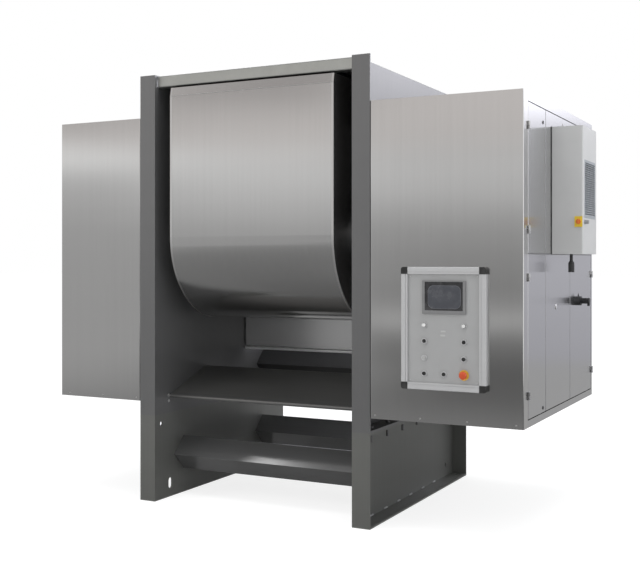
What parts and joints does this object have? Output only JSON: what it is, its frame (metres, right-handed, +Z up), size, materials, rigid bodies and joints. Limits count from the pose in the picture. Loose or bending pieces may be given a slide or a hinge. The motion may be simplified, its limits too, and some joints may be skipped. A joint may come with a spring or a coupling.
{
  "type": "horizontal dough mixer",
  "caption": "Large horizontal dough mixer with a tilting U-shaped bowl between two steel casings, a paddle agitator inside and a control cabinet with cooling unit on one side.",
  "frame": {"origin": "on the floor, in the middle of the four anchor holes of the side frames", "axes": "+X along the bowl's tilt axis to the operator's right, +Y from the front to the back, +Z up"},
  "size_m": [3.077, 1.586, 2.5],
  "materials": {
    "frame_steel": "satin dark grey",
    "bowl_steel": "fine brushed grain",
    "casing_steel": "fine horizontal brushed grain",
    "beam_steel": "dark brushed",
    "bar_steel": "plain milled",
    "bolt_zinc": "zinc plated",
    "bearing_iron": "painted casting",
    "turned_steel": "turned",
    "gear_steel": "machined, oiled",
    "seal_rubber": "black",
    "corner_black": "black moulded",
    "bronze": "turned bronze",
    "motor_paint": "gloss machine enamel",
    "bracket_paint": "satin",
    "control_gear": "moulded grey",
    "hinge_steel": "satin",
    "cooler_paint": "fine texture pale grey",
    "grille_plastic": "slate grey louvres",
    "fan_plastic": "black",
    "boot_rubber": "matt black",
    "isolator_yellow": "yellow",
    "isolator_red": "orange red",
    "switch_black": "black moulded",
    "panel_aluminium": "satin anodised",
    "panel_grey": "satin light grey",
    "screen_grey": "grey moulded",
    "bezel_chrome": "satin chrome",
    "button_white": "white",
    "button_black": "black",
    "stop_red": "orange red"
  },
  "bodies": {
    "machine_frame": {"left_base_frame": "frame_steel", "right_base_frame": "frame_steel", "left_side_frame": "frame_steel", "right_side_frame": "frame_steel", "frame_bolts": "bolt_zinc", "front_step_plate": "bowl_steel", "lower_beams": "beam_steel", "rear_upper_beam": "beam_steel", "rear_guard_panel": "bowl_steel", "top_bars": "bar_steel", "canopy": "bowl_steel", "flange_bearings": "bearing_iron", "drive_brackets": "bracket_paint", "main_gearmotor": "motor_paint", "tilt_gearmotor": "motor_paint", "left_casing_front": "casing_steel", "left_casing_sheets": "casing_steel", "right_casing_front": "casing_steel", "right_casing_sheets": "casing_steel", "side_door_frame": "casing_steel", "control_board": "control_gear", "lower_left_panel": "casing_steel", "door_hinges": "hinge_steel", "panel_frame": "panel_aluminium", "panel_corners": "corner_black", "panel_plate": "panel_grey", "screen_bezel": "screen_grey", "button_bezels": "bezel_chrome"},
    "bowl": {"bowl_shell": "bowl_steel", "bowl_ends": "bowl_steel", "bowl_trunnions": "turned_steel", "shaft_bushes": "bronze", "shaft_seals": "seal_rubber", "tilt_gear": "gear_steel"},
    "agitator": {"agitator_shaft": "turned_steel", "agitator_paddles": "bowl_steel", "bull_gear": "gear_steel"},
    "drive_pinion": {"drive_pinion": "gear_steel"},
    "tilt_pinion": {"tilt_pinion": "gear_steel"},
    "upper_service_door": {"upper_service_door": "casing_steel"},
    "lower_service_door": {"lower_service_door": "casing_steel"},
    "cabinet_door": {"cabinet_door": "casing_steel", "ac_housing": "cooler_paint", "ac_grille": "grille_plastic", "condensate_boot": "boot_rubber", "isolator_plate": "isolator_yellow"},
    "lower_right_door": {"lower_right_door": "casing_steel", "main_switch_base": "switch_black"},
    "ac_fan": {"ac_fan": "fan_plastic"},
    "isolator_knob": {"isolator_knob": "isolator_red"},
    "main_switch_handle": {"main_switch_handle": "switch_black"},
    "white_button_left": {"white_button_left": "button_white"},
    "white_button_right": {"white_button_right": "button_white"},
    "selector_left": {"selector_left": "button_black"},
    "selector_right": {"selector_right": "button_black"},
    "start_button_left": {"start_button_left": "button_white"},
    "start_button_right": {"start_button_right": "button_black"},
    "black_button_left": {"black_button_left": "button_black"},
    "black_button_middle": {"black_button_middle": "button_black"},
    "estop_button": {"estop_button": "stop_red"}
  },
  "joints": [
    {"name": "bowl_tilt", "type": "hinge", "parent": "machine_frame", "child": "bowl", "pos_m": [0, -0.285, 1.55], "axis": [1, 0, 0], "range_deg": [0, 105]},
    {"name": "agitator_spin", "type": "hinge", "parent": "machine_frame", "child": "agitator", "pos_m": [0, -0.285, 1.55], "axis": [1, 0, 0], "continuous": true},
    {"name": "drive_pinion_spin", "type": "hinge", "parent": "machine_frame", "child": "drive_pinion", "pos_m": [0, -0.285, 1.19], "axis": [1, 0, 0], "continuous": true},
    {"name": "tilt_pinion_spin", "type": "hinge", "parent": "machine_frame", "child": "tilt_pinion", "pos_m": [0, -0.285, 1.1], "axis": [1, 0, 0], "range_deg": [-420, 0]},
    {"name": "upper_service_door_swing", "type": "hinge", "parent": "machine_frame", "child": "upper_service_door", "pos_m": [1.571, -0.6925, 1.8], "axis": [0, 0, -1], "range_deg": [0, 110]},
    {"name": "lower_service_door_swing", "type": "hinge", "parent": "machine_frame", "child": "lower_service_door", "pos_m": [1.571, -0.6925, 1], "axis": [0, 0, -1], "range_deg": [0, 110]},
    {"name": "cabinet_door_swing", "type": "hinge", "parent": "machine_frame", "child": "cabinet_door", "pos_m": [1.571, 0.7175, 1.8], "axis": [0, 0, 1], "range_deg": [0, 110]},
    {"name": "lower_right_door_swing", "type": "hinge", "parent": "machine_frame", "child": "lower_right_door", "pos_m": [1.571, 0.7175, 1], "axis": [0, 0, 1], "range_deg": [0, 110]},
    {"name": "ac_fan_spin", "type": "hinge", "parent": "cabinet_door", "child": "ac_fan", "pos_m": [1.733, -0.077, 1.793], "axis": [1, 0, 0], "continuous": true},
    {"name": "isolator_turn", "type": "hinge", "parent": "cabinet_door", "child": "isolator_knob", "pos_m": [1.7095, -0.241, 1.618], "axis": [0, 1, 0], "range_deg": [0, 90]},
    {"name": "main_switch_turn", "type": "hinge", "parent": "lower_right_door", "child": "main_switch_handle", "pos_m": [1.565, 0.31, 1.18], "axis": [1, 0, 0], "range_deg": [0, 90]},
    {"name": "white_button_left_press", "type": "slide", "parent": "machine_frame", "child": "white_button_left", "axis": [0, 1, 0], "range_m": [0, 0.003], "stiffness_N_per_m": 500},
    {"name": "white_button_right_press", "type": "slide", "parent": "machine_frame", "child": "white_button_right", "axis": [0, 1, 0], "range_m": [0, 0.003], "stiffness_N_per_m": 500},
    {"name": "selector_left_turn", "type": "hinge", "parent": "machine_frame", "child": "selector_left", "pos_m": [1.0555, -0.79, 1.004], "axis": [0, 1, 0], "range_deg": [-45, 45]},
    {"name": "selector_right_turn", "type": "hinge", "parent": "machine_frame", "child": "selector_right", "pos_m": [1.2665, -0.79, 1.004], "axis": [0, 1, 0], "range_deg": [-45, 45]},
    {"name": "start_button_left_press", "type": "slide", "parent": "machine_frame", "child": "start_button_left", "axis": [0, 1, 0], "range_m": [0, 0.003], "stiffness_N_per_m": 500},
    {"name": "start_button_right_press", "type": "slide", "parent": "machine_frame", "child": "start_button_right", "axis": [0, 1, 0], "range_m": [0, 0.003], "stiffness_N_per_m": 500},
    {"name": "black_button_left_press", "type": "slide", "parent": "machine_frame", "child": "black_button_left", "axis": [0, 1, 0], "range_m": [0, 0.003], "stiffness_N_per_m": 500},
    {"name": "black_button_middle_press", "type": "slide", "parent": "machine_frame", "child": "black_button_middle", "axis": [0, 1, 0], "range_m": [0, 0.003], "stiffness_N_per_m": 500},
    {"name": "estop_button_press", "type": "slide", "parent": "machine_frame", "child": "estop_button", "axis": [0, 1, 0], "range_m": [0, 0.004], "stiffness_N_per_m": 500}
  ],
  "couplings": [
    {"joint": "drive_pinion_spin", "follows": "agitator_spin", "ratio": -3},
    {"joint": "tilt_pinion_spin", "follows": "bowl_tilt", "ratio": -4}
  ]
}
